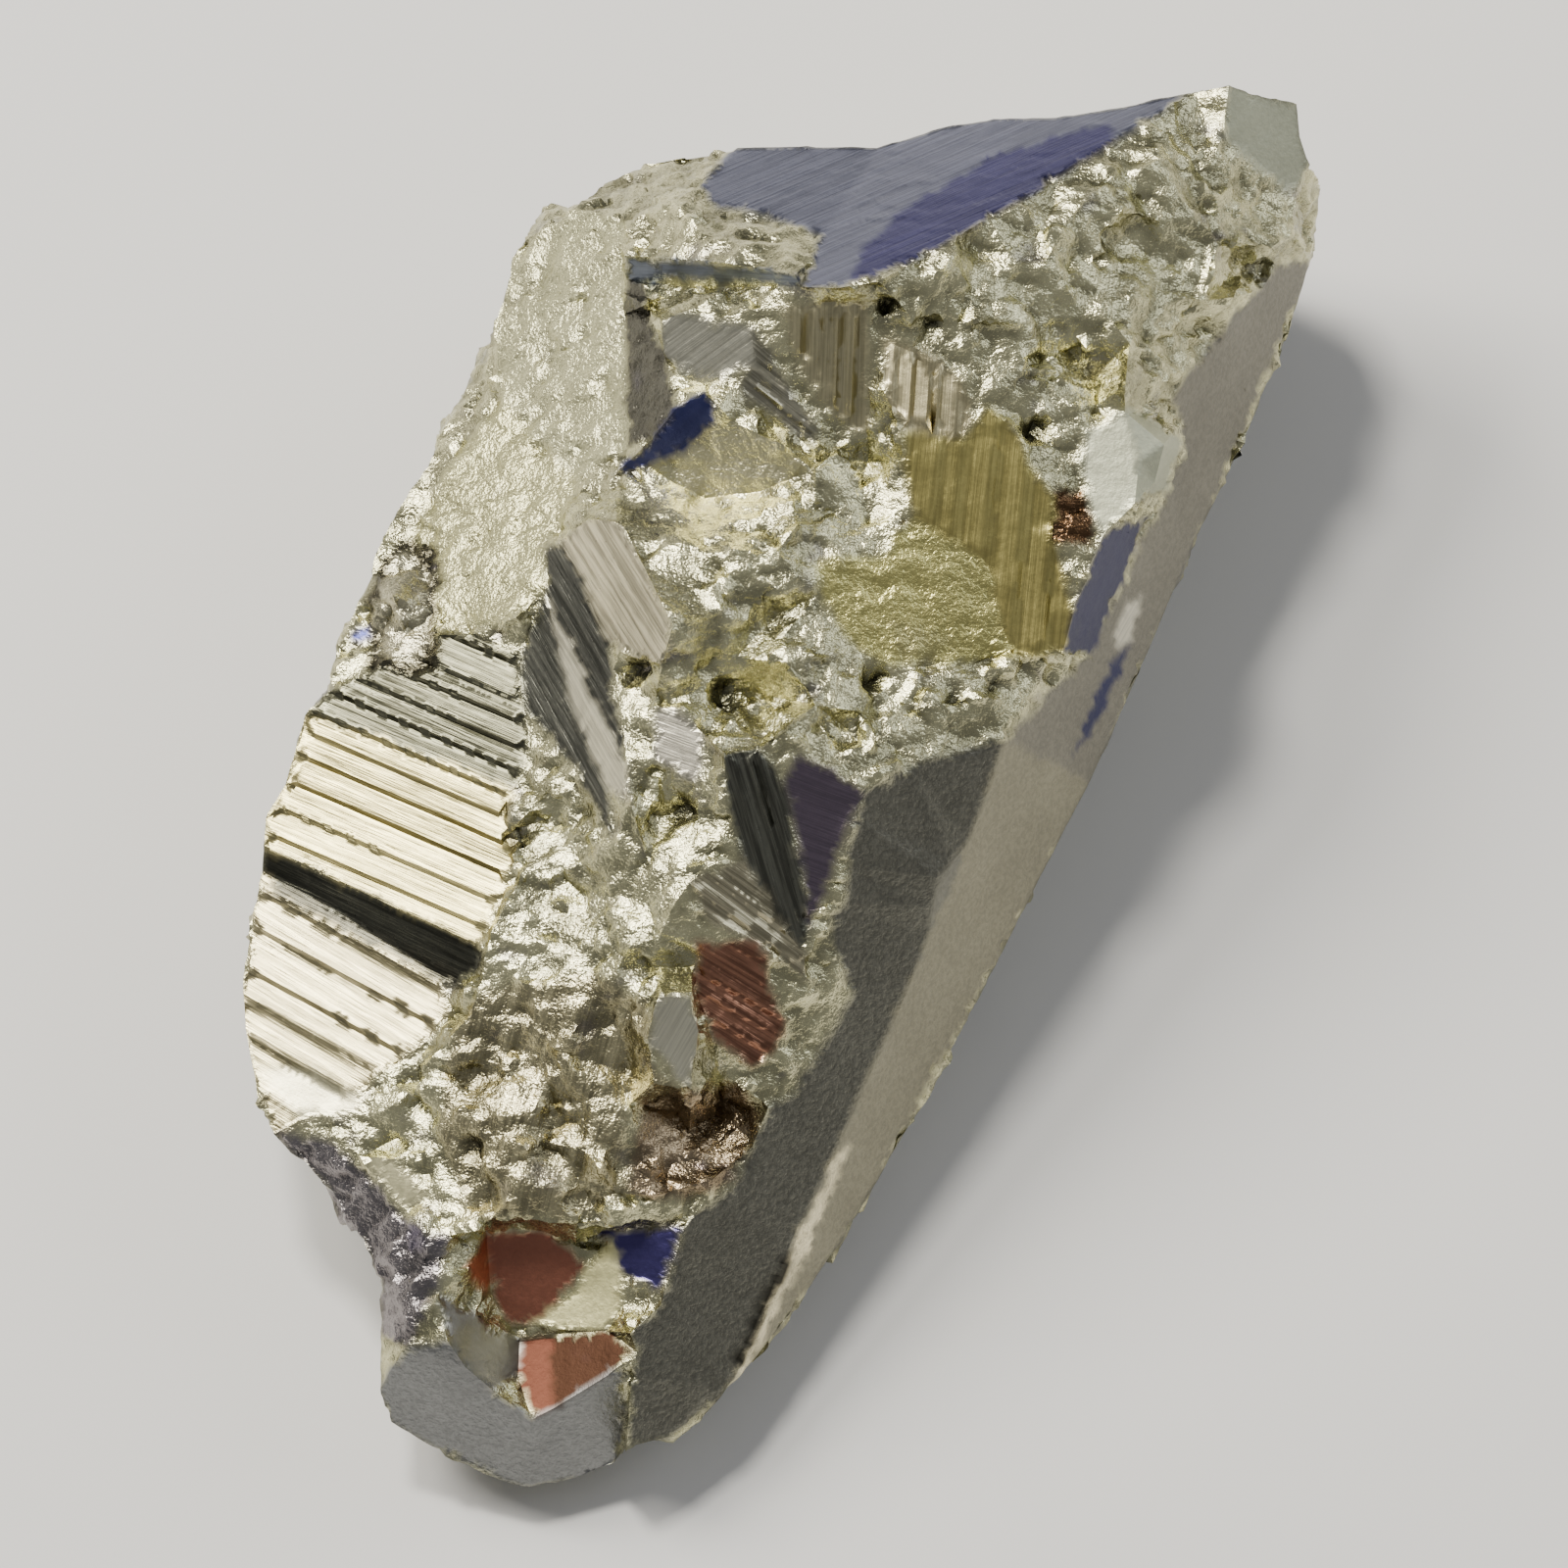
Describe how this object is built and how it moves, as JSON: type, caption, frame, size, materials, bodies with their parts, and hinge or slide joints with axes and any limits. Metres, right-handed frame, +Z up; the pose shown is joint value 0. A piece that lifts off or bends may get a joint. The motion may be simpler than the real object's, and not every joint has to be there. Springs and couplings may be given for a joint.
{
  "type": "pyrite specimen",
  "caption": "Pyrite hand specimen: a mass of intergrown metallic crystals with flat, stepped and broken faces, lying on its flat back.",
  "frame": {"origin": "middle of the bounding box at the flat back the specimen lies on", "axes": "+Y along the specimen towards its peaked end, +X across it towards its straight frosted side, +Z up from the back"},
  "size_m": [0.0696, 0.0896, 0.038],
  "materials": {
    "pyrite": "metallic pale brass crystal, bright and stepped in parts, frosted in others, with blue and copper tarnish"
  },
  "bodies": {
    "root": {"pyrite_specimen": "pyrite"}
  },
  "joints": []
}
